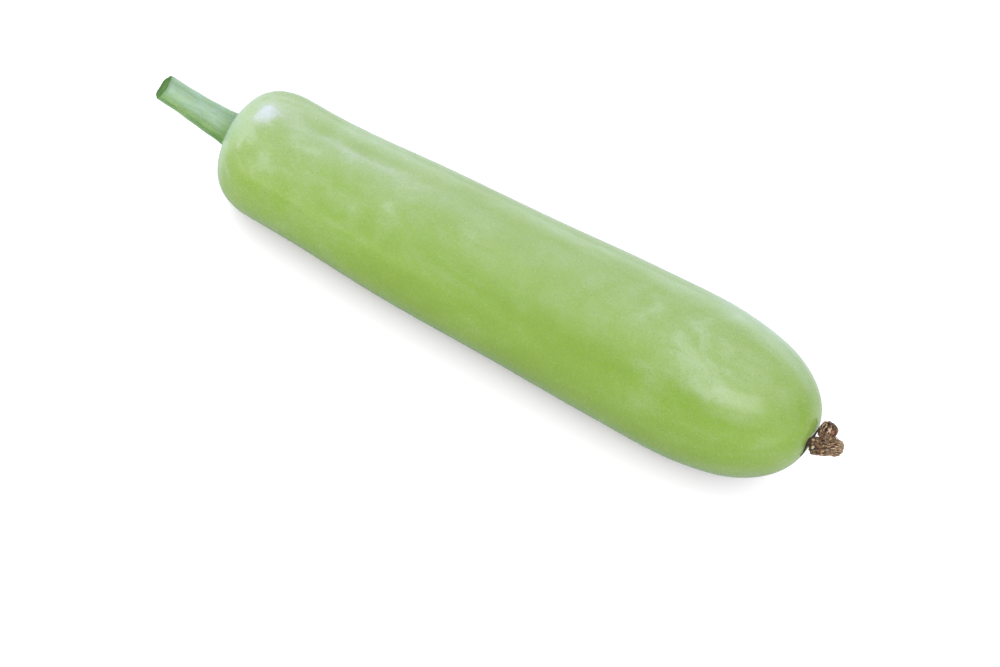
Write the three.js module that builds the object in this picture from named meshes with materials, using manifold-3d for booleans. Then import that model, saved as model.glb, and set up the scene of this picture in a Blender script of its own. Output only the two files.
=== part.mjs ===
// A bottle gourd as picked: one long, pale green fruit lying on its side, with its cut stem at one end
// and the withered flower at the other. Millimetres, +Z up. The fruit lies along X with its stem towards
// -X, and the origin is on the surface that it rests on, under the middle of the whole object.
import * as THREE from "three";
import { mergeVertices } from "three/addons/utils/BufferGeometryUtils.js";
import Module from "manifold-3d";

const wasm = await Module();
wasm.setup();

// ---------------------------------------------------------------- driving dimensions

const GAP = 0.3; // clearance between two pieces that touch

const FRUIT = {
  length: 349.6,
  // Shares of the length, stem end first, and the radius of the flesh there before the ends are rounded.
  stations: [0, 0.16, 0.34, 0.52, 0.7, 0.84, 1],
  radii: [35.2, 34.8, 38, 39.6, 41.8, 41.5, 30],
  // The two rounded ends: how long, how square, and how far each is askew to the side and upwards.
  shoulder: { length: 35, power: 2.5, side: -0.2, up: 0.12 },
  crown: { length: 40.8, power: 2.6, side: 0.035, up: 0.01 },
  askew: 0.25, // share of the length over which an end is askew
  bow: -1.45, // sideways bend, positive towards +Y
  sway: -4.3, // sideways S bend
  oval: 0.006, // share by which the section is out of round
  ribs: { count: 7, depth: 0.011, fades: 0.09 }, // shallow lobes that run back from the stem
  seat: { radius: 12, depth: 2 }, // the dimple that the stem grows from
  scar: { radius: 6, depth: 1 }, // the dimple that the flower grew from
  rests: [0.38, 0.76], // where along its length it touches down
  flat: 0.8, // how much of the underside is pressed flat
};

// Places on the stem are measured from the middle of its seat.
const STEM = {
  reach: [-41.6, -9.4, 13.1], // to the middle of the cut
  sag: [0.2, 0.3, -0.6], // how far its middle lies off the straight line
  radii: [9.1, 8.3, 7.75, 7.3, 6.95, 6.95], // from the seat to the cut
  ridges: { count: 5, depth: 0.075, turn: 0.35 },
  slant: { side: 0.15, up: 0.16 }, // how steeply the cut falls away to the side and upwards
  bevel: 0.7,
  hollow: 0.8, // depth of the dished cut
};

// The withered flower hangs from the scar in shrivelled lobes. Places are measured from the scar.
const BLOSSOM = {
  // The dry knot that holds the lobes, and the hard tip at the end of the stalk.
  knots: [
    { at: [0.9, 0.2, -0.6], half: [2.6, 2.3, 2.3] },
    { at: [4.7, 9.6, 7.6], half: [0.9, 0.9, 0.8] },
  ],
  // Each lobe leaves its base along out, with one of its broad sides towards looks.
  lobes: [
    {
      // the big lobe, a ribbed fan
      base: [1.9, 0, -1.9], out: [0.845, 0.5, 0.08], looks: [0.26, -0.66, 0.7],
      length: 16.8, half: 4.9, deep: 2, root: 0.7, end: 2.5, folds: 4,
    },
    {
      // the crumple over its root
      base: [1.6, -0.4, -1.6], out: [0.86, 0.47, 0.03], looks: [0.26, -0.66, 0.7],
      length: 10.4, half: 4.7, deep: 2.9, root: 0.76, end: 2.3, folds: 4,
    },
    {
      // the small lobe above
      base: [6.8, 5, 1.9], out: [-0.2, 0.64, 0.72], looks: [0.4, -0.62, 0.68],
      length: 8.6, half: 4.6, deep: 2.2, root: 0.86, end: 2.1, folds: 3,
    },
  ],
  ribs: { count: 9, depth: 0.3 }, // lengthwise on each lobe
  folds: 0.4, // how deep the broader folds are
  droop: 0.12, // share of its length by which a lobe turns away from the side it looks to
  // Dry strands: one joins the lobes from behind, one lies along the skin below the scar.
  stalk: {
    radius: 0.6,
    points: [[0.9, 0.6, 0.4], [1.6, 2.6, 2.1], [1.95, 5.3, 4.7], [3.1, 7.6, 6.4], [4.6, 9.4, 7.5]],
  },
  strand: { radius: 0.5, lift: 0.7, points: [[0, -0.8], [-2.6, -2.9], [-4.3, -4.4], [-5.8, -6.2]] },
};

// How finely the surfaces are divided.
const GRID = {
  fruit: { around: 60, body: 30, cap: 13 },
  stem: { around: 40, along: 16 },
  lobe: { around: 54, along: 15 },
  strand: { steps: 16, sides: 7 },
};

const COLOURS = { fruit: 0xa9cc74, stem: 0x7fa86b, blossom: 0x6e4e3a };

// ---------------------------------------------------------------- closed surfaces

const vector = (list) => new THREE.Vector3(...list);

// The geometry as one closed skin: corners in the same place are joined, triangles that closed up are
// dropped, and place says where each corner goes.
function closed(geometry, place = (corner) => corner) {
  const bare = new THREE.BufferGeometry().setAttribute("position", geometry.getAttribute("position"));
  const joined = mergeVertices(bare.setIndex(geometry.index));
  const corners = joined.index.array;
  const kept = [];
  for (let i = 0; i < corners.length; i += 3) {
    const [a, b, c] = corners.subarray(i, i + 3);
    if (a !== b && b !== c && c !== a) kept.push(a, b, c);
  }
  const position = joined.getAttribute("position");
  for (let i = 0; i < position.count; i++)
    position.setXYZ(i, ...place(new THREE.Vector3().fromBufferAttribute(position, i)));
  return joined.setIndex(kept);
}

// The same closed skin, moved out along its normals.
function grown(geometry, distance) {
  const source = geometry.clone();
  source.computeVertexNormals();
  const position = source.getAttribute("position");
  const normal = source.getAttribute("normal");
  for (let i = 0; i < position.count; i++) {
    const outward = new THREE.Vector3().fromBufferAttribute(normal, i).multiplyScalar(distance);
    position.setXYZ(i, ...new THREE.Vector3().fromBufferAttribute(position, i).add(outward));
  }
  return source;
}

function toManifold(geometry) {
  const vertProperties = new Float32Array(geometry.getAttribute("position").array);
  const triVerts = new Uint32Array(geometry.index.array);
  return new wasm.Manifold(new wasm.Mesh({ numProp: 3, vertProperties, triVerts }));
}

function fromManifold(solid) {
  const { vertProperties, triVerts } = solid.getMesh();
  return new THREE.BufferGeometry()
    .setAttribute("position", new THREE.BufferAttribute(vertProperties, 3))
    .setIndex(new THREE.BufferAttribute(triVerts, 1));
}

// A smooth curve of radius against share of the length.
const radiusCurve = (shares, radii) => {
  const curve = new THREE.CubicInterpolant(shares, radii, 1, [0]);
  return (share) => curve.evaluate(share)[0];
};

// Axes for a cross section: side is level, and the three are right-handed.
function crossAxes(along) {
  const side = new THREE.Vector3(0, 0, 1).cross(along).normalize();
  return { along, side, up: along.clone().cross(side) };
}

// A lathe turns about Y. Its corner as a distance along the axis, an angle and a radius.
const turned = ({ x, y, z }) => ({ run: y, angle: Math.atan2(x, z), radius: Math.hypot(x, z) });

// ---------------------------------------------------------------- fruit

const fleshRadius = radiusCurve(FRUIT.stations, FRUIT.radii);

// How far a rounded end has opened out, from 0 at its pole to 1, at a distance from the pole.
function opening(distance, { length, power }) {
  const left = Math.min(Math.max(1 - distance / length, 0), 1);
  return (1 - left ** power) ** (1 / power);
}

function girth(t) {
  const run = t * FRUIT.length;
  return fleshRadius(t) * opening(run, FRUIT.shoulder) * opening(FRUIT.length - run, FRUIT.crown);
}

// The height of the middle line, which is level with the underside at the two places that touch down.
function lift(t) {
  const [a, b] = FRUIT.rests;
  const share = (t - a) / (b - a);
  return girth(a) * (1 - share) + girth(b) * share - FRUIT.flat;
}

function middleLine(t) {
  const s = 2 * t - 1;
  const y = FRUIT.bow * (1 - s * s) + FRUIT.sway * (s ** 3 - s);
  return new THREE.Vector3(s * (FRUIT.length / 2), y, lift(t));
}

// How deep the skin dips at a distance from the middle of a round dimple.
function dimple(distance, { radius, depth }) {
  const share = Math.min(distance / radius, 1);
  return depth * (1 - share * share) ** 2;
}

// How far an end that is askew moves a point along the fruit.
function askew(end, away, across, above) {
  return (end.side * across + end.up * above) * Math.max(1 - away / FRUIT.askew, 0) ** 2;
}

// A point of the skin: t is the share of the length, and the angle runs from +Y over the top.
function skin(t, angle) {
  const { ribs, shoulder, crown, seat, scar, oval } = FRUIT;
  const step = 1e-3;
  const { along, side, up } = crossAxes(middleLine(t + step).sub(middleLine(t - step)).normalize());
  const ribbed = ribs.depth * Math.exp(-t / ribs.fades) * Math.cos(ribs.count * angle);
  const radius = girth(t) * (1 + oval * Math.cos(2 * angle + 1) + ribbed);
  const [across, above] = [radius * Math.cos(angle), radius * Math.sin(angle)];
  const dip = t < 0.5 ? dimple(radius, seat) : -dimple(radius, scar);
  const shift = askew(shoulder, t, across, above) + askew(crown, 1 - t, across, above) + dip;
  const point = middleLine(t).addScaledVector(along, shift);
  point.addScaledVector(side, across).addScaledVector(up, above);
  point.z = Math.max(point.z, 0);
  return point;
}

// Distances along the fruit for its rings: closest together at the two poles.
function ringRuns() {
  const { shoulder, crown, length } = FRUIT;
  const { cap, body } = GRID.fruit;
  const capRuns = ({ length: reach, power }) =>
    Array.from({ length: cap + 1 }, (_, i) => {
      const turn = (Math.PI / 2) * (i / (cap + 1)) ** 1.5;
      return reach * (1 - Math.cos(turn) ** (2 / power));
    });
  const last = capRuns(crown).map((run) => length - run).reverse();
  const spacing = (length - shoulder.length - crown.length) / (body - 1);
  const between = Array.from({ length: body }, (_, i) => shoulder.length + spacing * i);
  return [...capRuns(shoulder), ...between, ...last];
}

// The fruit is turned straight, and its skin is then laid along the bent middle line.
function fruitGeometry() {
  const profile = ringRuns().map((run) => new THREE.Vector2(girth(run / FRUIT.length), run));
  return closed(new THREE.LatheGeometry(profile, GRID.fruit.around), (corner) => {
    const { run, angle } = turned(corner);
    return skin(run / FRUIT.length, angle);
  });
}

// ---------------------------------------------------------------- stem

// The stem is turned straight, then ridged and bent. Its foot is dropped along the stem onto the skin.
function stemGeometry(fruitMesh, seat) {
  const { radii, ridges, slant, bevel, hollow } = STEM;
  const end = vector(STEM.reach);
  const control = end.clone().multiplyScalar(0.5).addScaledVector(vector(STEM.sag), 2);
  const path = new THREE.QuadraticBezierCurve3(new THREE.Vector3(), control, end);
  const length = path.getLength();
  const radiusAt = radiusCurve(radii.map((_, i) => i / (radii.length - 1)), radii);

  const first = 0.16;
  const spacing = (1 - bevel / length - first) / (GRID.stem.along - 1);
  const shares = Array.from({ length: GRID.stem.along }, (_, i) => first + spacing * i);
  const [foot, tip] = [radiusAt(0), radiusAt(1)];
  const profile = [
    ...[0, 0.35, 0.7, 1].map((scale) => [scale * foot, 0]),
    ...shares.map((share) => [radiusAt(share), share * length]),
    ...[[0.93, 0], [0.8, 0.25], [0.5, 1], [0.22, 0.8], [0, 0.7]].map(([scale, deep]) => [
      scale * tip,
      length - deep * hollow,
    ]),
  ].map(([radius, run]) => new THREE.Vector2(radius, run));

  const inward = path.getTangent(0).negate();
  const caster = new THREE.Raycaster();
  const ontoSkin = (point) => {
    const from = point.clone().add(seat).addScaledVector(inward, -30);
    caster.set(from, inward);
    return caster.intersectObject(fruitMesh)[0].point.addScaledVector(inward, -GAP).sub(seat);
  };

  return closed(new THREE.LatheGeometry(profile, GRID.stem.around), (corner) => {
    const { run, angle, radius } = turned(corner);
    const share = run / length;
    const { along, side, up } = crossAxes(path.getTangent(share));
    const crest = 2 * Math.abs(Math.cos((ridges.count * (angle + ridges.turn)) / 2)) ** 1.3 - 1;
    const ridged = radius * (1 + ridges.depth * crest);
    const [across, above] = [ridged * Math.cos(angle), ridged * Math.sin(angle)];
    const cutBack = (slant.side * across + slant.up * above) * share ** 6;
    const point = path.getPoint(share).addScaledVector(side, across).addScaledVector(up, above);
    return run === 0 ? ontoSkin(point) : point.addScaledVector(along, -cutBack);
  });
}

// ---------------------------------------------------------------- withered flower

// A shrivelled pouch: gathered at its root, rounded at its end, and ribbed and folded lengthwise.
function lobeGeometry({ base, out, looks, length, half, deep, root, end, folds }) {
  const along = vector(out).normalize();
  const across = vector(looks).cross(along).normalize();
  const facing = along.clone().cross(across);
  const { ribs, droop } = BLOSSOM;
  const rings = GRID.lobe.along;
  const profile = Array.from({ length: rings }, (_, i) => new THREE.Vector2(1, (i + 1) / (rings + 1)));
  const outline = [new THREE.Vector2(0, 0), ...profile, new THREE.Vector2(0, 1)];
  return closed(new THREE.LatheGeometry(outline, GRID.lobe.around), (corner) => {
    const { run, angle, radius } = turned(corner);
    const u = Math.sin((Math.PI / 2) * run) ** 1.2;
    const swell = root + (1 - root) * Math.sin((Math.PI / 2) * Math.min(u / 0.4, 1));
    const gathered = Math.sqrt(1 - (1 - Math.min(u / 0.12, 1)) ** 2);
    const rounded = Math.max(1 - (Math.max(u - 0.34, 0) / 0.66) ** end, 0) ** (1 / end);
    const ribbed = ribs.depth * (0.2 + 0.8 * u) * Math.cos(ribs.count * angle + Math.sin(4 * u));
    const folded = BLOSSOM.folds * u * Math.cos(folds * angle + 2.5 * u);
    const wide = radius * swell * gathered * rounded * (1 + (ribbed + folded) / half);
    return vector(base)
      .addScaledVector(across, half * wide * Math.cos(angle))
      .addScaledVector(facing, deep * wide * Math.sin(angle) - droop * length * u * u)
      .addScaledVector(along, length * u);
  });
}

function knotGeometry({ at, half: [long, wide, high] }) {
  return closed(new THREE.SphereGeometry(1, 14, 8), ({ x, y, z }) => {
    const rough = 1 + 0.12 * Math.cos(5 * Math.atan2(z, y) + 3 * x);
    return new THREE.Vector3(x * long, y * wide * rough, z * high * rough).add(vector(at));
  });
}

function strandGeometry(points, radius) {
  const { steps, sides } = GRID.strand;
  const section = new THREE.Shape(new THREE.EllipseCurve(0, 0, radius, radius).getPoints(sides).slice(1));
  const extrudePath = new THREE.CatmullRomCurve3(points);
  return closed(new THREE.ExtrudeGeometry(section, { steps, extrudePath, bevelEnabled: false }));
}

function blossomGeometry(fruitMesh, scar) {
  const { knots, lobes, stalk, strand } = BLOSSOM;
  const caster = new THREE.Raycaster();
  const backwards = new THREE.Vector3(-1, 0, 0);
  const overSkin = ([y, z]) => {
    caster.set(new THREE.Vector3(60, y, z).add(scar), backwards);
    return caster.intersectObject(fruitMesh)[0].point.addScaledVector(backwards, -strand.lift).sub(scar);
  };
  const pieces = [
    ...knots.map(knotGeometry),
    ...lobes.map(lobeGeometry),
    strandGeometry(stalk.points.map(vector), stalk.radius),
    strandGeometry(strand.points.map(overSkin), strand.radius),
  ];
  const whole = pieces.map(toManifold).reduce((a, b) => a.add(b));
  const fruitAround = grown(fruitMesh.geometry, GAP).translate(-scar.x, -scar.y, -scar.z);
  const clear = whole.subtract(toManifold(fruitAround));
  const [largest] = clear.decompose().sort((a, b) => b.volume() - a.volume());
  return fromManifold(largest);
}

// ---------------------------------------------------------------- the whole gourd

function piece(name, geometry, color, roughness) {
  geometry.computeVertexNormals();
  const mesh = new THREE.Mesh(geometry, new THREE.MeshStandardMaterial({ color, roughness, metalness: 0 }));
  mesh.name = name;
  return mesh;
}

const fruit = piece("fruit", fruitGeometry(), COLOURS.fruit, 0.42);

const seat = skin(0, 0);
const stem = piece("stem", stemGeometry(fruit, seat), COLOURS.stem, 0.6);
stem.position.copy(seat);

const scar = skin(1, 0);
const blossom = piece("dried_blossom", blossomGeometry(fruit, scar), COLOURS.blossom, 0.85);
blossom.position.copy(scar);

const gourd = new THREE.Group().add(fruit, stem, blossom);
const centre = new THREE.Box3().setFromObject(gourd).getCenter(new THREE.Vector3());
gourd.position.set(-centre.x, -centre.y, 0);

export default gourd;
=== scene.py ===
"""A bottle gourd on a plain white floor: a fine skin with its down, a ridged cut stem and a withered flower,
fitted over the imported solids. Metres, +Z up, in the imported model's frame."""
import math

import bpy
import numpy as np
from mathutils import Matrix, Vector
from mathutils.bvhtree import BVHTree


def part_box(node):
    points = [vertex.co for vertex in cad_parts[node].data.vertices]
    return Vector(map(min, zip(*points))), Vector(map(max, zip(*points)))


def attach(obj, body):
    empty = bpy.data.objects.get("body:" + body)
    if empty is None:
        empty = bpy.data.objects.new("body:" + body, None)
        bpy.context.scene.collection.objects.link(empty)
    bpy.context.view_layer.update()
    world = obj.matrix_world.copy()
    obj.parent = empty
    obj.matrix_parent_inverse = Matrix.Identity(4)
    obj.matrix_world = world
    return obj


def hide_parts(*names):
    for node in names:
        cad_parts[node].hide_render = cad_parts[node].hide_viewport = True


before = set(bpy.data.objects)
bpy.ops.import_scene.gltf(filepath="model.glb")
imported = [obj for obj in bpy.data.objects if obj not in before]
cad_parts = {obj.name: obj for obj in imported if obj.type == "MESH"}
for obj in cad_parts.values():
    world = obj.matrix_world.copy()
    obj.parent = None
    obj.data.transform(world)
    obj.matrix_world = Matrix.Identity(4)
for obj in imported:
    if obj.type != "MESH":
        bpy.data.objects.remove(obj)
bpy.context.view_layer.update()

MM = 0.001

# ---------------------------------------------------------------- camera

AZIMUTH, ELEVATION, ROLL = (math.radians(v) for v in (21.774, 45.0, 14.0))
TARGET = Vector((29.662, -37.42, 40.0)) * MM
DISTANCE = 1.5
PICTURE_WIDTH, FOCAL_LENGTH = 1000, 2990.5  # pixels
SENSOR_WIDTH = 36


def aim_camera():
    back = Vector((math.sin(AZIMUTH) * math.cos(ELEVATION), -math.cos(AZIMUTH) * math.cos(ELEVATION),
                   math.sin(ELEVATION)))
    right = Vector((math.cos(AZIMUTH), math.sin(AZIMUTH), 0))
    up = back.cross(right)
    turned_right = right * math.cos(ROLL) + up * math.sin(ROLL)
    turned_up = up * math.cos(ROLL) - right * math.sin(ROLL)
    data = bpy.data.cameras.new("camera")
    data.sensor_width = SENSOR_WIDTH
    data.lens = FOCAL_LENGTH * SENSOR_WIDTH / PICTURE_WIDTH
    data.clip_end = 20
    camera = bpy.data.objects.new("camera", data)
    camera.matrix_world = Matrix.LocRotScale(
        TARGET + back * DISTANCE, Matrix((turned_right, turned_up, back)).transposed(), None)
    bpy.context.scene.collection.objects.link(camera)
    bpy.context.scene.camera = camera


aim_camera()

# ---------------------------------------------------------------- the fruit's form, as in the part's source

LENGTH = 349.6
STATIONS = np.array([0, 0.16, 0.34, 0.52, 0.7, 0.84, 1])
RADII = np.array([35.2, 34.8, 38, 39.6, 41.8, 41.5, 30])
SHOULDER = dict(length=35, power=2.5, side=-0.2, up=0.12)
CROWN = dict(length=40.8, power=2.6, side=0.035, up=0.01)
ASKEW = 0.25
BOW, SWAY, OVAL = -1.45, -4.3, 0.006
RIB_COUNT, RIB_DEPTH, RIB_FADES = 7, 0.011, 0.09
SEAT, SCAR = (12, 2), (6, 1)
RESTS, FLAT = (0.38, 0.76), 0.8
SOURCE_RINGS, SOURCE_AROUND = (13, 30), 60
STEP = 1e-3  # for slopes, as a share of the length or as an angle


def smooth_curve(x, stations, values):
    """Three.js's cubic interpolant, whose curvature is nought at both ends."""
    x = np.clip(np.asarray(x, float), stations[0], stations[-1])
    i1 = np.clip(np.searchsorted(stations, x, side="right"), 1, len(stations) - 1)
    t0, t1 = stations[i1 - 1], stations[i1]
    before = np.where(i1 > 1, i1 - 2, i1)
    after = np.where(i1 < len(stations) - 1, i1 + 1, i1 - 1)
    w_before = (t1 - t0) / 2 / (t0 - stations[before])
    w_after = (t1 - t0) / 2 / (stations[after] - t1)
    p = (x - t0) / (t1 - t0)
    s_before = -w_before * p**3 + 2 * w_before * p**2 - w_before * p
    s0 = (1 + w_before) * p**3 + (-1.5 - 2 * w_before) * p**2 + (-0.5 + w_before) * p + 1
    s1 = (-1 - w_after) * p**3 + (1.5 + w_after) * p**2 + 0.5 * p
    s_after = w_after * p**3 - w_after * p**2
    return s_before * values[before] + s0 * values[i1 - 1] + s1 * values[i1] + s_after * values[after]


def opening(run, end):
    """How far the skin has opened, from nought to one, at a distance from an end."""
    left = np.clip(1 - run / end["length"], 0, 1)
    return (1 - left ** end["power"]) ** (1 / end["power"])


def girth(t):
    t = np.asarray(t, float)
    return smooth_curve(t, STATIONS, RADII) * opening(t * LENGTH, SHOULDER) * opening((1 - t) * LENGTH, CROWN)


def middle_line(t):
    s = 2 * t - 1
    share = (t - RESTS[0]) / (RESTS[1] - RESTS[0])
    height = girth(RESTS[0]) * (1 - share) + girth(RESTS[1]) * share - FLAT
    return np.stack([s * LENGTH / 2, BOW * (1 - s * s) + SWAY * (s**3 - s), height], -1)


def unit(v):
    return v / np.linalg.norm(v, axis=-1, keepdims=True)


def cross_axes(along):
    side = unit(np.cross([0.0, 0.0, 1.0], along))
    return side, np.cross(along, side)


def dimple(distance, radius, depth):
    return depth * (1 - np.minimum(distance / radius, 1) ** 2) ** 2


def skin_mm(t, angle):
    """Points of the skin in the source's own millimetres, before it is centred."""
    t, angle = np.broadcast_arrays(np.asarray(t, float), np.asarray(angle, float))
    along = unit(middle_line(t + STEP) - middle_line(t - STEP))
    side, up = cross_axes(along)
    ribbed = RIB_DEPTH * np.exp(-t / RIB_FADES) * np.cos(RIB_COUNT * angle)
    radius = girth(t) * (1 + OVAL * np.cos(2 * angle + 1) + ribbed)
    across, above = radius * np.cos(angle), radius * np.sin(angle)
    dip = np.where(t < 0.5, dimple(radius, *SEAT), -dimple(radius, *SCAR))

    def lean(end, away):
        return (end["side"] * across + end["up"] * above) * np.clip(1 - away / ASKEW, 0, None) ** 2

    shift = lean(SHOULDER, t) + lean(CROWN, 1 - t) + dip
    point = middle_line(t) + along * shift[..., None] + side * across[..., None] + up * above[..., None]
    point[..., 2] = np.maximum(point[..., 2], 0)
    return point


def ring_shares(cap, body):
    """Shares of the length for the rings, closer together on the rounded ends."""

    def cap_runs(end):
        turn = math.pi / 2 * (np.arange(cap + 1) / (cap + 1)) ** 1.5
        return end["length"] * (1 - np.cos(turn) ** (2 / end["power"]))

    between = np.linspace(SHOULDER["length"], LENGTH - CROWN["length"], body)
    return np.concatenate([cap_runs(SHOULDER), between, LENGTH - cap_runs(CROWN)[::-1]]) / LENGTH


# The source centres the whole gourd over the origin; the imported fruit's box says by how much.
source_angles = np.arange(SOURCE_AROUND)[None] * math.tau / SOURCE_AROUND
source_points = skin_mm(ring_shares(*SOURCE_RINGS)[:, None], source_angles).reshape(-1, 3)
box_low, box_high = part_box("fruit")
CENTRE = (np.array(box_low) + np.array(box_high)) / 2 / MM - (source_points.min(0) + source_points.max(0)) / 2
CENTRE[2] = 0


def skin(t, angle):
    return (skin_mm(t, angle) + CENTRE) * MM


# ---------------------------------------------------------------- mesh helpers


def ring_mesh(first, rings, last):
    """Corners and faces of a closed skin from rings of points, with a point at each end."""
    count = rings.shape[1]
    corners = np.concatenate([first[None], rings.reshape(-1, 3), last[None]])
    ahead = (np.arange(count) + 1) % count
    at = 1 + np.arange(len(rings))[:, None] * count + np.arange(count)[None]
    nxt = at[:, ahead]
    quads = np.stack([at[:-1], nxt[:-1], nxt[1:], at[1:]], -1).reshape(-1, 4).tolist()
    start = [[0, int(b), int(a)] for a, b in zip(at[0], nxt[0])]
    end = [[len(corners) - 1, int(a), int(b)] for a, b in zip(at[-1], nxt[-1])]
    return corners, quads + start + end


def new_piece(name, corners, faces, materials, node=None):
    mesh = bpy.data.meshes.new(name)
    mesh.from_pydata(corners.tolist(), [], faces)
    mesh.shade_smooth()
    for material in materials:
        mesh.materials.append(material)
    piece = bpy.data.objects.new(name, mesh)
    bpy.context.scene.collection.objects.link(piece)
    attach(piece, "root")
    if node:
        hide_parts(node)
    return piece


def paint(piece, name, values):
    """A number for each corner, which a material reads by its name."""
    attribute = piece.data.attributes.new(name, "FLOAT", "POINT")
    attribute.data.foreach_set("value", np.asarray(values, np.float32).ravel())


def waves(points, scale, seed, octaves=3):
    """Smooth seeded noise of about -1 to 1: a sum of sines in many directions."""
    rng = np.random.default_rng(seed)
    total = np.zeros(points.shape[:-1])
    for octave in range(octaves):
        for _ in range(6):
            direction = unit(rng.normal(size=3)) * (2**octave) / scale * rng.uniform(0.7, 1.3)
            total += np.sin(points @ direction * math.tau + rng.uniform(0, math.tau)) / 6 / 1.6**octave
    return total * 1.6


def needles(roots, tips, width, rng):
    """A closed three-sided needle from each root to its tip."""
    axis = unit(tips - roots)
    helper = np.where(np.abs(axis[:, 2:3]) < 0.9, [[0, 0, 1.0]], [[1.0, 0, 0]])
    u = unit(np.cross(axis, helper))
    v = np.cross(axis, u)
    turn = rng.uniform(0, math.tau, len(roots))
    ring = []
    for k in range(3):
        a = turn + k * math.tau / 3
        ring.append(roots + width[:, None] * (np.cos(a)[:, None] * u + np.sin(a)[:, None] * v))
    corners = np.stack([*ring, tips], 1).reshape(-1, 3)
    base = np.arange(len(roots))[:, None] * 4
    faces = np.concatenate([base + f for f in ([0, 2, 1], [0, 1, 3], [1, 2, 3], [2, 0, 3])])
    return corners, faces.tolist()


# ---------------------------------------------------------------- materials


def srgb(*values):
    """A linear colour from the usual numbers of 0 to 255."""
    shares = [v / 255 for v in values]
    return tuple(v / 12.92 if v <= 0.04045 else ((v + 0.055) / 1.055) ** 2.4 for v in shares) + (1.0,)


class Surface:
    """A small helper for building a node material round one Principled shader."""

    def __init__(self, name, **sockets):
        self.material = bpy.data.materials.new(name)
        self.material.use_nodes = True
        self.tree = self.material.node_tree
        self.shader = self.tree.nodes["Principled BSDF"]
        for socket, value in sockets.items():
            self.shader.inputs[socket.replace("_", " ")].default_value = value
        self.place = self.node("ShaderNodeTexCoord").outputs["Object"]

    def node(self, kind, **settings):
        made = self.tree.nodes.new(kind)
        for name, value in settings.items():
            setattr(made, name, value)
        return made

    def link(self, source, target):
        self.tree.links.new(source, target)
        return target

    def feed(self, socket, value):
        if isinstance(value, bpy.types.NodeSocket):
            self.link(value, socket)
        else:
            socket.default_value = value

    def math(self, operation, a, b=0.0, clamp=False):
        made = self.node("ShaderNodeMath", operation=operation, use_clamp=clamp)
        self.feed(made.inputs[0], a)
        self.feed(made.inputs[1], b)
        return made.outputs[0]

    def stretched(self, scale, turn=(0, 0, 0)):
        made = self.node("ShaderNodeMapping")
        self.link(self.place, made.inputs["Vector"])
        made.inputs["Scale"].default_value = scale
        made.inputs["Rotation"].default_value = turn
        return made.outputs[0]

    def noise(self, scale, detail=3.0, roughness=0.5, distortion=0.0, vector=None):
        made = self.node("ShaderNodeTexNoise")
        self.link(vector or self.place, made.inputs["Vector"])
        made.inputs["Scale"].default_value = scale
        made.inputs["Detail"].default_value = detail
        made.inputs["Roughness"].default_value = roughness
        made.inputs["Distortion"].default_value = distortion
        return made.outputs["Fac"]

    def ramp(self, value, *stops):
        """stops are (place, colour or number)."""
        made = self.node("ShaderNodeValToRGB")
        self.link(value, made.inputs[0])
        stops = [(p, c if isinstance(c, tuple) else (c, c, c, 1.0)) for p, c in stops]
        elements = made.color_ramp.elements
        for element, (position, colour) in zip(elements, (stops[0], stops[-1])):
            element.position, element.color = position, colour
        for position, colour in stops[1:-1]:
            elements.new(position).color = colour
        return made.outputs[0]

    def mix(self, share, a, b):
        made = self.node("ShaderNodeMix", data_type="RGBA", blend_type="MIX")
        self.feed(made.inputs["Factor"], share)
        self.feed(made.inputs["A"], a)
        self.feed(made.inputs["B"], b)
        return made.outputs["Result"]

    def attribute(self, name):
        return self.node("ShaderNodeAttribute", attribute_name=name).outputs["Fac"]

    def bump(self, *layers):
        """Each layer is (height, depth in metres)."""
        normal = None
        for height, depth in layers:
            made = self.node("ShaderNodeBump")
            self.link(height, made.inputs["Height"])
            made.inputs["Distance"].default_value = depth
            made.inputs["Strength"].default_value = 1.0
            if normal:
                self.link(normal, made.inputs["Normal"])
            normal = made.outputs[0]
        self.link(normal, self.shader.inputs["Normal"])

    def colour(self, value):
        self.link(value, self.shader.inputs["Base Color"])

    def rough(self, value):
        self.link(value, self.shader.inputs["Roughness"])


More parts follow.
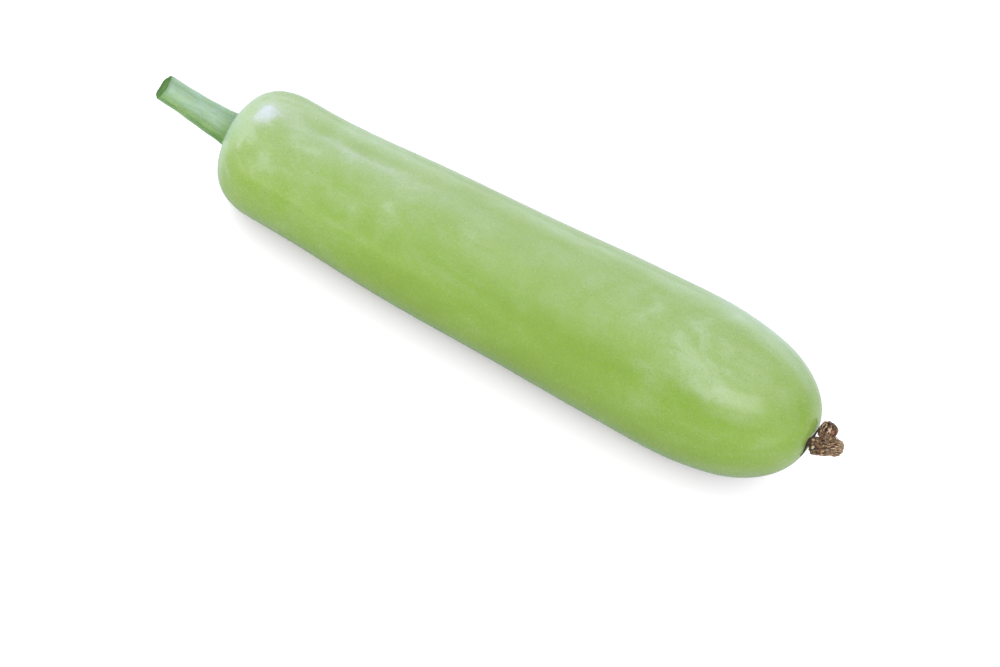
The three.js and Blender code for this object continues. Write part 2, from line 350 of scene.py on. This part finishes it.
def skin_material():
    s = Surface("gourd_skin", Subsurface_Weight=0.1, Subsurface_Scale=0.003, Sheen_Weight=0.22,
                Sheen_Roughness=0.32, Coat_Weight=0.9, Coat_Roughness=0.16, Coat_IOR=1.45,
                Specular_IOR_Level=1.0)
    s.shader.inputs["Sheen Tint"].default_value = (0.7, 0.85, 1.0, 1)
    s.shader.inputs["Subsurface Radius"].default_value = (0.6, 1.0, 0.25)
    cloud = s.noise(27, 7, 0.62, 1.1, s.stretched((0.6, 1, 1)))
    patch = s.noise(85, 4, 0.6, 0.8, s.stretched((0.7, 1, 1)))
    # the mottled haze with the painted bloom: painted light on top and painted shade low down
    haze_and_painted_light = s.math("ADD", s.ramp(cloud, (0.25, 0.0), (0.75, 1.0)), s.attribute("bloom_and_painted_light"))
    haze_and_painted_light = s.math("ADD", haze_and_painted_light, s.ramp(patch, (0.3, 0.0), (0.7, 0.32)), clamp=True)
    base = s.ramp(haze_and_painted_light, (0.15, srgb(109, 141, 6)), (0.5, srgb(114, 146, 34)),
                  (0.8, srgb(123, 151, 69)), (1.0, srgb(137, 161, 103)))
    yellowed = s.noise(48, 5, 0.62, 0.8, s.stretched((0.7, 1, 1)))
    base = s.mix(s.ramp(yellowed, (0.5, 0.0), (0.7, 0.3)), base, srgb(124, 149, 36))
    # painted sheen: a pale bluish rim towards the back, above, and round the stem
    pale = s.math("MULTIPLY", s.attribute("pale"), s.ramp(cloud, (0.35, 0.55), (0.62, 1.0)))
    base = s.mix(pale, base, srgb(164, 191, 163))
    pores = s.noise(1350, 2, 0.5)
    base = s.mix(s.ramp(pores, (0.28, 0.6), (0.43, 0.0)), base, srgb(84, 118, 46))
    flecks = s.noise(980, 2, 0.5, 0, s.stretched((1, 1, 1), (0.4, 1.1, 0.7)))
    base = s.mix(s.ramp(flecks, (0.62, 0.0), (0.82, 0.3)), base, srgb(178, 200, 142))
    s.colour(base)
    s.rough(s.ramp(s.noise(60, 4), (0.3, 0.36), (0.7, 0.46)))
    s.bump((s.noise(42, 3), 0.0003), (s.noise(170, 4, 0.6), 0.00008), (s.noise(900, 3), 0.00005))
    return s.material


def down_material(name, colour):
    s = Surface(name, Roughness=0.5)
    s.colour(s.ramp(s.noise(120, 2), (0.3, tuple(0.85 * c for c in colour[:3]) + (1,)), (0.7, colour)))
    return s.material


def stem_material():
    s = Surface("stem_bark", Subsurface_Weight=0.08, Subsurface_Scale=0.002, Sheen_Weight=0.35,
                Sheen_Roughness=0.4, Specular_IOR_Level=0.8)
    s.shader.inputs["Sheen Tint"].default_value = (0.8, 0.95, 1.0, 1)
    ridge, run, under = s.attribute("ridge"), s.attribute("run"), s.attribute("under")
    streaks = s.noise(420, 5, 0.6, 0.2, s.stretched((0.1, 1, 1), (0, math.radians(16), math.radians(11))))
    cloud = s.noise(110, 4, 0.6, 0.4)
    # painted light and shade: pale bluish on top as painted sheen, darker and yellower underneath as painted
    # shade
    base = s.ramp(under, (0.08, srgb(140, 168, 142)), (0.3, srgb(134, 164, 130)), (0.43, srgb(122, 152, 88)),
                  (0.56, srgb(80, 120, 58)), (0.9, srgb(58, 98, 50)))
    base = s.mix(s.ramp(streaks, (0.34, 0.4), (0.52, 0.0)), base, srgb(98, 132, 84))
    base = s.mix(s.ramp(streaks, (0.55, 0.0), (0.72, 0.4)), base, srgb(162, 186, 150))
    base = s.mix(s.ramp(cloud, (0.45, 0.0), (0.66, 0.5)), base, srgb(128, 156, 92))
    # painted shade between the ridges and a painted highlight along their crests
    base = s.mix(s.ramp(ridge, (0.0, 0.3), (0.6, 0.0)), base, srgb(88, 124, 66))
    base = s.mix(s.ramp(ridge, (0.8, 0.0), (1.0, 0.2)), base, srgb(168, 194, 166))
    base = s.mix(s.ramp(run, (0.0, 0.8), (0.28, 0.0)), base, srgb(84, 122, 48))
    # painted shade: darker still underneath, near the fruit
    foot = s.math("MULTIPLY", s.ramp(run, (0.06, 1.0), (0.42, 0.0)), s.ramp(under, (0.4, 0.0), (0.55, 0.75)))
    base = s.mix(foot, base, srgb(70, 116, 26))
    # painted sheen: a pale rim along the back of the stem
    base = s.mix(s.ramp(s.attribute("back"), (0.8, 0.0), (0.87, 0.55), (0.96, 0.2)), base, srgb(190, 214, 194))
    base = s.mix(s.ramp(run, (0.93, 0.0), (0.985, 0.75)), base, srgb(92, 130, 76))
    s.colour(base)
    s.rough(s.ramp(streaks, (0.3, 0.36), (0.7, 0.48)))
    s.bump((streaks, 0.00025), (s.noise(1200, 3), 0.00006))
    return s.material


def cut_material():
    s = Surface("stem_cut", Roughness=0.55, Specular_IOR_Level=0.3, Subsurface_Weight=0.15,
                Subsurface_Scale=0.002)
    radius = s.attribute("radius")
    dots = s.node("ShaderNodeTexVoronoi")
    s.link(s.place, dots.inputs["Vector"])
    dots.inputs["Scale"].default_value = 700
    base = s.ramp(radius, (0.0, srgb(88, 120, 54)), (0.3, srgb(66, 104, 34)), (0.86, srgb(50, 94, 22)),
                  (0.96, srgb(74, 114, 48)))
    base = s.mix(s.ramp(s.noise(260, 4, 0.6), (0.4, 0.5), (0.6, 0.0)), base, srgb(50, 84, 30))
    base = s.mix(s.ramp(dots.outputs["Distance"], (0.1, 0.3), (0.35, 0.0)), base, srgb(116, 142, 84))
    s.colour(base)
    s.bump((s.noise(900, 4), 0.00025))
    return s.material


def blossom_material():
    s = Surface("withered_petal", Sheen_Weight=0.1)
    along = s.node("ShaderNodeCombineXYZ")
    s.link(s.attribute("vein"), along.inputs["X"])
    s.link(s.attribute("reach"), along.inputs["Y"])
    painted_fold_light = s.attribute("painted_fold_light")
    streaks = s.noise(2.2, 5, 0.62, 0.2, along.outputs[0])
    stain = s.noise(330, 3, 0.55, 0.3)
    crumbs = s.noise(1500, 4, 0.65)
    base = s.ramp(streaks, (0.32, srgb(60, 39, 24)), (0.46, srgb(86, 60, 37)), (0.58, srgb(107, 76, 48)),
                  (0.72, srgb(144, 112, 80)))
    base = s.mix(s.ramp(stain, (0.52, 0.0), (0.66, 0.6)), base, srgb(126, 111, 84))
    base = s.mix(s.ramp(stain, (0.34, 0.6), (0.46, 0.0)), base, srgb(110, 62, 40))
    base = s.mix(s.ramp(crumbs, (0.3, 0.6), (0.46, 0.0)), base, srgb(42, 27, 18))
    base = s.mix(s.ramp(s.attribute("reach"), (0.8, 0.0), (1.0, 0.5)), base, srgb(150, 138, 112))
    # painted shade in the creases and painted highlights on the crests
    base = s.mix(s.ramp(painted_fold_light, (0.14, 0.97), (0.46, 0.0)), base, srgb(13, 8, 5))
    base = s.mix(s.ramp(painted_fold_light, (0.62, 0.0), (0.84, 0.55), (0.98, 0.95)), base, srgb(202, 172, 134))
    # pale scraps, painted in as highlights on the dry petals
    pale = s.attribute("pale")
    scrap = s.ramp(pale, (0.5, srgb(160, 98, 74)), (1.0, srgb(222, 204, 180)))
    base = s.mix(s.ramp(pale, (0.1, 0.0), (0.4, 0.85)), base, scrap)
    s.colour(base)
    s.rough(s.ramp(streaks, (0.3, 0.5), (0.7, 0.85)))
    s.bump((crumbs, 0.0004), (s.noise(2400, 4), 0.0001))
    return s.material


# ---------------------------------------------------------------- fruit

AROUND, CAP_RINGS, BODY_RINGS = 208, 52, 180
HAIRS, LONGEST_HAIR, HAIR_ROOT = 48000, 1.7, 0.03  # how many, and millimetres outside and inside the skin
FLOOR_GAP = (0.0004, 0.0006)  # the least height of a hair's root and tip, in metres
shares = ring_shares(CAP_RINGS, BODY_RINGS)[1:-1]
angles = np.arange(AROUND) * math.tau / AROUND
fruit_rings = skin(shares[:, None], angles[None])
corners, faces = ring_mesh(skin(0, 0), fruit_rings, skin(1, 0))
gourd = new_piece("gourd_skin", corners, faces, [skin_material()], "fruit")
run = np.concatenate([[0], np.repeat(shares, AROUND), [1]])


def hump(middle, width):
    """A smooth rise to one round a share of the length."""
    return np.exp(-(((run - middle) / width) ** 2))


def rise(values, start, over):
    """Nought up to the start, and one once the values are as far over it as they are told."""
    return np.clip((values - start) / over, 0, 1)


fruit_tree = BVHTree.FromPolygons([tuple(c) for c in corners], faces)


def skin_normal(t, angle):
    """The direction straight out of the fruit."""
    t = np.clip(t, 2 * STEP, 1 - 2 * STEP)
    return unit(np.cross(skin(t, angle + STEP) - skin(t, angle - STEP),
                         skin(t + STEP, angle) - skin(t - STEP, angle)))


# bloom and painted light: the pale bloom is thickest on top of both ends and behind, which also paints light on
# the top, and thin low down and underneath, which paints shade there
turned = skin_normal(run, np.concatenate([[0], np.tile(angles, len(shares)), [0]]))
low_down = 1 - rise(corners[:, 2], 0.032, 0.036)
on_top = rise(corners[:, 2], 0.045, 0.03)
behind = rise(corners[:, 1], 0.014, 0.016)
paint(gourd, "bloom_and_painted_light", on_top * (0.5 * hump(0, 0.15) + 0.3 * hump(0.87, 0.1)) + 0.3 * hump(0, 0.05)
      + behind * (0.35 * hump(0.2, 0.08) + 0.5 * hump(0.88, 0.1))
      + low_down * (0.3 * hump(0.06, 0.07) + 0.16 * hump(0.95, 0.1) - 0.42 * hump(0.62, 0.28)) - 0.1)
# painted sheen: the skin is paler where it turns to the back, above, and where it turns to the stem, a pale rim
# painted in for the sheen of the down
to_back = rise(turned[:, 1], 0.05, 0.65)
to_stem = rise(-turned[:, 0], 0.5, 0.45)
paint(gourd, "pale", np.maximum.reduce([
    to_back * on_top * (0.55 + 0.42 * hump(0.18, 0.1) + 0.45 * hump(0.86, 0.12)),
    0.4 * to_back**2 * hump(1, 0.05), 0.75 * to_stem]))


def random_on_skin(count, rng):
    """Shares of the length and angles that cover the skin evenly, the closed ends too."""
    grid = np.linspace(0, 1, 2001)
    weight = girth(grid) + 6 * (np.exp(-grid * 30) + np.exp(-(1 - grid) * 30))
    total = np.cumsum(weight)
    return np.interp(rng.uniform(0, total[-1], count), total, grid), rng.uniform(0, math.tau, count)


def skin_down():
    rng = np.random.default_rng(11)
    t, angle = random_on_skin(HAIRS, rng)
    root = skin(t, angle)
    normal = skin_normal(t, angle)
    lean = np.stack([np.full_like(t, 0.6), rng.normal(0, 0.5, len(t)), rng.normal(0, 0.5, len(t)) - 0.3], -1)
    lean = unit(lean + rng.normal(0, 0.35, (len(t), 3)))
    direction = unit(normal + lean * rng.uniform(0.3, 1.0, len(t))[:, None])
    length = np.minimum(rng.gamma(5, 0.22, len(t)), LONGEST_HAIR)[:, None] * MM
    tip = root + direction * length
    clear = (root[:, 2] > FLOOR_GAP[0]) & (tip[:, 2] > FLOOR_GAP[1])
    free = clear & ((direction * normal).sum(1) > 0.3)
    root, tip = root[free] - normal[free] * HAIR_ROOT * MM, tip[free]
    corners, faces = needles(root, tip, rng.uniform(0.017, 0.029, len(root)) * MM, rng)
    new_piece("skin_down", corners, faces, [down_material("skin_down", srgb(196, 218, 184))])


skin_down()

# ---------------------------------------------------------------- stem

STEM_REACH = np.array([-41.6, -9.4, 13.1])
STEM_SAG = np.array([0.2, 0.3, -0.6])
STEM_RADII = np.array([9.1, 8.3, 7.75, 7.3, 6.95, 6.95])
RIDGES, RIDGE_DEPTH, RIDGE_TURN = 5, 0.075, 0.35
SLANT_SIDE, SLANT_UP, HOLLOW = 0.15, 0.16, 0.8
STEM_CONTROL = STEM_REACH / 2 + 2 * STEM_SAG
STEM_RUN = 44.0  # millimetres along the stem
STEM_AROUND, BARK_RINGS, RIM_RINGS = 180, 130, 6
RIM_AT = 0.984  # the share of the run where the bark rounds over to the cut
FOOT_RINGS, FOOT_SUNK = 6, 0.0004  # the rings that run down into the fruit, and how far in
DISH_SCALE = np.array([0.915, 0.86, 0.8, 0.7, 0.6, 0.5, 0.4, 0.3, 0.2, 0.1])
DISH_DEEP = np.array([0.0, 0.12, 0.3, 0.6, 0.85, 1.0, 1.0, 0.9, 0.8, 0.72]) * HOLLOW
STEM_HAIRS = 9000


def stem_path(share):
    """Points of the stem's middle line, in millimetres from where it leaves the fruit."""
    share = np.asarray(share)[..., None]
    return 2 * share * (1 - share) * STEM_CONTROL + share**2 * STEM_REACH


def stem_along(share):
    share = np.asarray(share)[..., None]
    return unit(2 * (1 - share) * STEM_CONTROL + 2 * share * (STEM_REACH - STEM_CONTROL))


def root_in_fruit(points, inward):
    """Bends the lowest rings so that they end just inside the fruit."""
    for k in range(points.shape[1]):
        above_foot = points[FOOT_RINGS, k]
        hit, _, _, _ = fruit_tree.ray_cast(Vector(above_foot) - inward * 0.03, inward)
        base = np.array(hit + inward * FOOT_SUNK) if hit else points[0, k]
        for i in range(FOOT_RINGS):
            points[i, k] = base + (above_foot - base) * (i / FOOT_RINGS)


def stem_down(bark, middle, inward):
    """Short hairs on the bark, given its rings of points and the middle of each."""
    rng = np.random.default_rng(5)
    i = rng.integers(4, len(bark) - 8, STEM_HAIRS)
    k = rng.integers(0, STEM_AROUND, STEM_HAIRS)
    root = bark[i, k]
    normal = unit(root - middle[i])
    direction = unit(normal + rng.normal(0, 0.35, (STEM_HAIRS, 3)) + np.array(inward) * -0.35)
    tip = root + direction * rng.uniform(0.3, 1.0, (STEM_HAIRS, 1)) * MM
    corners, faces = needles(root, tip, rng.uniform(0.012, 0.02, STEM_HAIRS) * MM, rng)
    new_piece("stem_down", corners, faces, [down_material("stem_down", srgb(206, 224, 204))])


def stem_piece():
    seat = skin_mm(0, 0) + CENTRE
    stations = np.linspace(0, 1, len(STEM_RADII))
    turn = np.arange(STEM_AROUND) * math.tau / STEM_AROUND
    side_shares = np.concatenate([np.linspace(0.0, RIM_AT, BARK_RINGS), np.linspace(0.987, 0.999, RIM_RINGS)])
    scale = np.where(side_shares > RIM_AT, 1 - 0.07 * ((side_shares - RIM_AT) / 0.015) ** 2, 1)
    share_all = np.concatenate([side_shares, 1 - DISH_DEEP / STEM_RUN])
    scale_all = np.concatenate([scale, DISH_SCALE])
    on_side = np.arange(len(share_all)) < len(side_shares)
    share_grid, turn_grid = np.meshgrid(share_all, turn, indexing="ij")
    crest = 2 * np.abs(np.cos(RIDGES * (turn_grid + RIDGE_TURN) / 2)) ** 1.3 - 1
    radius = smooth_curve(share_grid, stations, STEM_RADII) * (1 + RIDGE_DEPTH * crest) * scale_all[:, None]
    # lengthwise fibres, and a little unevenness along each ridge
    fibres = sum(np.sin(k * turn_grid + phase + wobble * np.sin(share_grid * math.tau * 0.8 + phase)) / k**0.5
                 for k, phase, wobble in [(13, 0.4, 0.5), (21, 1.9, 0.7), (31, 4.2, 0.6), (44, 2.2, 0.9)])
    swell = np.sin(share_grid * 9 + 3 * turn_grid) + 0.6 * np.sin(share_grid * 23 + 2 * turn_grid + 2)
    radius = radius + np.where(on_side[:, None], 0.16 * fibres + 0.1 * swell, 0.05 * fibres)
    # the foot flares and breaks up where it meets the fruit
    foot = np.exp(-share_grid / 0.035)
    radius = radius + foot * (0.5 + 0.35 * np.sin(9 * turn_grid + 1) + 0.2 * np.sin(17 * turn_grid))
    tangent = stem_along(share_grid)
    side, up = cross_axes(tangent)
    across, above = radius * np.cos(turn_grid), radius * np.sin(turn_grid)
    cut_back = (SLANT_SIDE * across + SLANT_UP * above) * share_grid**6
    uneven = 0.07 * np.sin(across * 2.1 + above * 1.3) + 0.05 * np.sin(above * 4 - across)
    rough_cut = np.where(on_side[:, None], 0, uneven)
    points = (stem_path(share_grid) + side * across[..., None] + up * above[..., None]
              + tangent * (rough_cut - cut_back)[..., None])
    points = (points + seat) * MM
    inward = Vector(-stem_along(0.0))
    root_in_fruit(points, inward)
    # first ring closes inside the fruit, last one at the heart of the cut
    start = points[0].mean(0) + np.array(inward) * 0.003
    heart = (stem_path(np.array(1 - 0.7 * HOLLOW / STEM_RUN)) + seat) * MM
    corners, faces = ring_mesh(start, points, heart)
    piece = new_piece("gourd_stem", corners, faces, [stem_material(), cut_material()], "stem")
    # the faces run ring by ring, then those at the start, then those at the heart
    index = np.zeros(len(faces), np.int32)
    index[BARK_RINGS * STEM_AROUND:(len(points) - 1) * STEM_AROUND] = 1
    index[-STEM_AROUND:] = 1
    piece.data.polygons.foreach_set("material_index", index)
    paint(piece, "ridge", np.concatenate([[0.5], ((crest + 1) / 2 + 0.12 * fibres).ravel(), [0.5]]))
    paint(piece, "run", np.concatenate([[0], share_grid.ravel(), [1]]))
    paint(piece, "back", np.concatenate([[0.5], (0.5 - 0.5 * np.cos(turn_grid)).ravel(), [0.5]]))
    paint(piece, "under", np.concatenate([[0.5], (0.5 - 0.5 * np.sin(turn_grid)).ravel(), [0.5]]))
    spread = np.broadcast_to(scale_all[:, None], share_grid.shape)
    paint(piece, "radius", np.concatenate([[0], spread.ravel(), [0]]))
    stem_down(points[:len(side_shares)], (stem_path(side_shares) + seat) * MM, inward)


stem_piece()

# ---------------------------------------------------------------- withered flower

# Each lobe of the flower is a shrivelled, ribbed pouch. Places are millimetres from the scar.
LOBES = [
    # the big lobe, a ribbed fan
    dict(base=(1.9, 0.0, -2.1), out=(0.845, 0.5, 0.07), looks=(0.26, -0.66, 0.7), length=16.9, half=4.5,
         deep=2.0, root=0.7, ribs=29, ribbed=0.34, folds=4, end=3.1, crumple=0.85),
    # the crumple over its root
    dict(base=(1.6, -0.4, -1.6), out=(0.86, 0.47, 0.03), looks=(0.26, -0.66, 0.7), length=10.4, half=4.7,
         deep=2.9, root=0.76, ribs=13, ribbed=0.2, folds=4, end=2.3, crumple=1.25),
    # the small lobe above
    dict(base=(6.8, 5.0, 1.9), out=(-0.2, 0.64, 0.72), looks=(0.4, -0.62, 0.68), length=8.6, half=4.6, deep=2.2,
         root=0.86, ribs=18, ribbed=0.36, folds=3, end=2.1, crumple=1.15),
]
# widths and depths of the creases, in millimetres
CREASES = ((3.6, 0.3), (1.8, 0.16), (0.9, 0.06))
LOBE_RINGS, LOBE_AROUND = 76, 216


def smoothed(values, passes):
    """Values on a grid, averaged with their neighbours a number of times."""
    for _ in range(passes):
        for axis in (0, 1):
            padded = np.concatenate([values.take([0], axis), values, values.take([-1], axis)], axis)
            low = padded.take(range(values.shape[axis]), axis)
            high = padded.take(range(2, values.shape[axis] + 2), axis)
            values = values / 2 + (low + high) / 4
    return values


def crumpled(grid, depths, seed):
    """The same grid, pushed about by smooth noise of several sizes, and how proud each point stands."""
    for scale, depth in depths:
        pushes = [waves(grid, scale, seed + k + int(10 * scale), 2) for k in range(3)]
        grid = grid + depth * np.stack(pushes, -1)
    normal = unit(np.cross(np.gradient(grid, axis=0), np.gradient(grid, axis=1)))
    proud = ((grid - np.stack([smoothed(grid[..., k], 10) for k in range(3)], -1)) * normal).sum(-1)
    return grid, proud


def tube_grid(points, radii, sides=10, steps=60):
    """A closed rough tube along a smooth curve through the points, in millimetres."""
    points = np.asarray(points, float)
    share = np.linspace(0, 1, steps)
    line = np.stack([smooth_curve(share, np.linspace(0, 1, len(points)), points[:, k]) for k in range(3)], -1)
    radius = np.interp(share, np.linspace(0, 1, len(radii)), radii)
    along = unit(np.gradient(line, axis=0))
    side = unit(np.cross(along, [0.3, -0.5, 0.81]))
    up = np.cross(along, side)
    turn = np.arange(sides) * math.tau / sides
    rough = 1 + 0.18 * np.sin(3 * turn[None] + 14 * share[:, None]) + 0.12 * np.sin(31 * share[:, None])
    ring = line[:, None] + (radius[:, None] * rough)[..., None] * (
        np.cos(turn)[None, :, None] * side[:, None] + np.sin(turn)[None, :, None] * up[:, None])
    return ring_mesh(line[0] - along[0] * 0.1, ring, line[-1] + along[-1] * 0.15)


def pouch_grid(base, out, looks, seed, length, half, deep, root, ribs, ribbed, folds, end, crumple):
    """Corners, faces and painted values of a shrivelled pouch that is gathered at its root."""
    base, out, looks = np.array(base), unit(np.array(out)), np.array(looks)
    across = unit(np.cross(looks, out))
    facing = np.cross(out, across)
    phase = np.random.default_rng(seed).uniform(0, math.tau, 6)
    share = np.sin(math.pi / 2 * np.linspace(0, 1, LOBE_RINGS + 2)[1:-1]) ** 1.2
    u, a = np.meshgrid(share, np.arange(LOBE_AROUND) * math.tau / LOBE_AROUND, indexing="ij")
    swell = root + (1 - root) * np.sin(math.pi / 2 * np.minimum(u / 0.4, 1))
    closed_tip = (1 - (np.maximum(u - 0.34, 0) / 0.66) ** end) ** (1 / end)
    rounded = closed_tip * (1 - (1 - np.minimum(u / 0.12, 1)) ** 2) ** 0.5
    veins = ribs * a / math.tau + 0.25 * np.sin(4 * u + phase[0]) + 0.12 * np.sin(3 * a + phase[1])
    rib = np.cos(math.tau * veins)
    proud = 0.9 * ribbed * (0.2 + 0.8 * u) * rib + 0.4 * np.cos(folds * a + 2.5 * u + phase[2]) * u
    radius = swell * rounded * (1 + proud / half)
    grid = (across * (half * radius * np.cos(a))[..., None] + facing * (deep * radius * np.sin(a))[..., None]
            + out * (length * u + 0.4 * rib * u**3)[..., None] + base)
    grid = grid - facing * (0.12 * length * u * u)[..., None]
    grid, standing = crumpled(grid, [(size, crumple * depth) for size, depth in CREASES], seed)
    corners, faces = ring_mesh(base + out * 0.02, grid, grid[-1].mean(0) - out * 0.3)
    # painted light on the folds: low in hollows as painted shade, and high on proud crests and ribs as painted
    # highlight
    painted_fold_light = np.clip(0.47 - standing / 0.55 + ribbed * rib * (0.25 + 0.75 * u), 0, 1)
    flat = dict(painted_fold_light=painted_fold_light, vein=veins + seed, reach=u)
    return corners, faces, {name: np.concatenate([[0.1], v.ravel(), [0.2]]) for name, v in flat.items()}


def lump_grid(at, size, seed):
    """A small knobbly lump, in millimetres."""
    tilt, turn = np.meshgrid(np.linspace(0, math.pi, 22)[1:-1], np.arange(30) * math.tau / 30, indexing="ij")
    ball = np.stack([-np.cos(tilt), np.sin(tilt) * np.cos(turn), np.sin(tilt) * np.sin(turn)], -1)
    rough = 1 + 0.1 * np.cos(5 * turn + 3 * ball[..., 0]) + 0.1 * waves(ball, 0.5, seed, 2)
    at, size = np.array(at), np.array(size)
    rings = ball * size * np.stack([np.ones_like(rough), rough, rough], -1) + at
    return ring_mesh(at - [size[0], 0, 0], rings, at + [size[0], 0, 0])


def blossom_piece():
    scar = skin_mm(1, 0) + CENTRE
    parts = []

    def take(corners, faces, painted=None, painted_fold_light=0.4, pale=0.0):
        count = len(corners)
        plain = dict(painted_fold_light=np.full(count, painted_fold_light), vein=corners[:, 1] * 1.5 + corners[:, 2],
                     reach=np.full(count, 0.3))
        parts.append((corners, faces, dict(painted or plain, pale=np.full(count, pale))))

    for k, lobe in enumerate(LOBES):
        take(*pouch_grid(seed=40 + 9 * k, **lobe))
    take(*lump_grid((0.9, 0.2, -0.6), (2.4, 2.2, 2.2), 9), painted_fold_light=0.25)
    take(*lump_grid((4.95, 9.1, 8.2), (0.8, 0.8, 0.7), 12), painted_fold_light=0)
    # pale dry scraps, painted in as highlights, and a near-black lump painted as the shade of a hollow beside
    # one of them
    take(*lump_grid((4.3, -2.9, 0.4), (0.8, 0.7, 0.9), 13), pale=1.0)
    take(*lump_grid((5.45, -3.3, 0.75), (0.55, 0.65, 0.6), 14), painted_fold_light=0)
    take(*lump_grid((6.9, 6.9, 6.6), (0.7, 0.8, 1.1), 15), pale=0.9)
    take(*lump_grid((8.5, 7.5, 6.2), (0.8, 0.8, 0.8), 16), pale=0.5)
    # the strand up the left of the small lobe
    take(*tube_grid([(0.9, 0.6, 0.4), (1.6, 2.6, 2.1), (1.95, 5.3, 4.7), (3.1, 7.6, 6.4), (4.6, 9.4, 7.5)],
                    [0.7, 0.5, 0.45, 0.5, 0.6]), painted_fold_light=0.2)
    # the rolled margin of the small lobe
    take(*tube_grid([(4.6, 9.5, 7.9), (6.4, 10.1, 8.3), (8.2, 10.2, 8.0), (9.8, 9.6, 7.1), (10.4, 8.4, 5.8),
                     (10.4, 7.3, 4.5)], [0.45, 0.6, 0.5, 0.64, 0.5, 0.35], sides=14, steps=90), painted_fold_light=0.62)
    # wisps between the lobes, and a strand that lies on the skin
    take(*tube_grid([(8.3, 5.9, 2.3), (10.2, 7.3, 3.2), (11.4, 8.2, 3.6), (12.5, 8.3, 3.1)],
                    [0.3, 0.2, 0.1]), painted_fold_light=0.3)
    take(*tube_grid([(9.4, 5.2, 1.6), (11.6, 6.9, 2.3), (12.8, 7.9, 2.9)], [0.4, 0.25, 0.12]), painted_fold_light=0.45)
    over = []
    for y, z in [(0, -0.8), (-2.6, -2.9), (-4.3, -4.4), (-5.8, -6.2)]:
        hit, _, _, _ = fruit_tree.ray_cast(Vector((scar + [60, y, z]) * MM), Vector((-1, 0, 0)))
        over.append(np.array(hit) / MM - scar + [0.45, 0, 0])
    take(*tube_grid(over, [0.55, 0.45, 0.35, 0.2]), painted_fold_light=0.25)

    starts = np.cumsum([0] + [len(corners) for corners, _, _ in parts])
    corners = (np.concatenate([corners for corners, _, _ in parts]) + scar) * MM
    faces = [[int(i + start) for i in face] for start, (_, some, _) in zip(starts, parts) for face in some]
    piece = new_piece("withered_flower", corners, faces, [blossom_material()],
                      "dried_blossom")
    for name in ("painted_fold_light", "vein", "reach", "pale"):
        paint(piece, name, np.concatenate([painted[name] for _, _, painted in parts]))


blossom_piece()

# ---------------------------------------------------------------- floor and light

FLOOR_REACH = 8
LIT_HEIGHT = 0.04  # the lights face this height over the origin
TENT_TOP = Vector((-0.36, 0.37, 0.85)).normalized()
TENT_LEVELS = (-0.15, 0.6, 0.38, 1.3)  # from and to: where on the way to the top, and how bright


def floor(name, grey, drop, seen, glow=0.0):
    """A wide floor. The one that is seen is bright, and a duller one below it gives the light that bounces."""
    s = Surface(name, Roughness=0.9, Specular_IOR_Level=0.1, Emission_Strength=glow)
    s.shader.inputs["Emission Color"].default_value = (1, 0.9, 1, 1)
    s.colour(s.ramp(s.noise(2, 2), (0.3, (*grey, 1)), (0.7, (*(0.99 * g for g in grey), 1))))
    mesh = bpy.data.meshes.new(name)
    r = FLOOR_REACH
    mesh.from_pydata([(-r, -r, 0), (r, -r, 0), (r, r, 0), (-r, r, 0)], [], [(0, 1, 2, 3)])
    mesh.materials.append(s.material)
    plane = bpy.data.objects.new(name, mesh)
    plane.location.z = -drop
    plane.visible_camera = seen
    plane.visible_diffuse = plane.visible_glossy = not seen
    bpy.context.scene.collection.objects.link(plane)


def softbox(name, azimuth, elevation, distance, width, height, power, colour=(1, 1, 1),
            glossy=True, diffuse=True):
    """A rectangular light that faces the gourd. Azimuth nought is in front of it."""
    a, e = math.radians(azimuth), math.radians(elevation)
    away = Vector((math.sin(a) * math.cos(e), -math.cos(a) * math.cos(e), math.sin(e)))
    data = bpy.data.lights.new(name, "AREA")
    data.shape, data.size, data.size_y = "RECTANGLE", width, height
    data.energy, data.color = power, colour
    light = bpy.data.objects.new(name, data)
    light.location = Vector((0, 0, LIT_HEIGHT)) + away * distance
    light.rotation_euler = away.to_track_quat("Z", "Y").to_euler()
    light.visible_glossy, light.visible_diffuse = glossy, diffuse
    bpy.context.scene.collection.objects.link(light)


def light_tent():
    """A white tent all round, brighter above and behind on the left than low in front."""
    world = bpy.data.worlds.new("studio")
    world.use_nodes = True
    tree = world.node_tree
    place = tree.nodes.new("ShaderNodeTexCoord")
    towards = tree.nodes.new("ShaderNodeVectorMath")
    towards.operation = "DOT_PRODUCT"
    towards.inputs[1].default_value = TENT_TOP
    level = tree.nodes.new("ShaderNodeMapRange")
    level.interpolation_type = "SMOOTHSTEP"
    for socket, value in zip(level.inputs[1:5], TENT_LEVELS):
        socket.default_value = value
    background = tree.nodes["Background"]
    background.inputs["Color"].default_value = (0.96, 0.985, 1, 1)
    tree.links.new(place.outputs["Generated"], towards.inputs[0])
    tree.links.new(towards.outputs["Value"], level.inputs["Value"])
    tree.links.new(level.outputs["Result"], background.inputs["Strength"])
    bpy.context.scene.world = world


# name, colour, drop, seen, glow
floor("floor", (0.93, 0.9, 0.93), 0.0002, True, 0.22)
floor("floor_bounce", (0.67, 0.7, 0.58), 0.0004, False)
light_tent()
# name, azimuth and elevation in degrees, distance, width and height in metres, watts, colour
softbox("window_behind_left", -130, 36, 2.2, 1.4, 1.0, 20.5, (0.8, 0.88, 1), glossy=False)
softbox("window_shine", -113, 36, 2.2, 1.3, 1.2, 28.5, (0.46, 0.31, 1), diffuse=False)
softbox("fill_left", -34, 6, 0.65, 0.35, 0.3, 2.6, glossy=False)
softbox("softbox_front_right", 38, 43, 2.4, 1.6, 1.0, 11.5, (0.82, 0.78, 1))
softbox("fill_right", 66, 12, 0.65, 0.35, 0.3, 1.5, glossy=False)
softbox("card_left", -74, 9, 2.0, 0.44, 0.34, 1.5, (0.72, 0.6, 1), diffuse=False)
softbox("fill_front", 28, 9, 2.0, 1.8, 0.6, 6.2, glossy=False)
bpy.context.scene.view_settings.view_transform = "Standard"
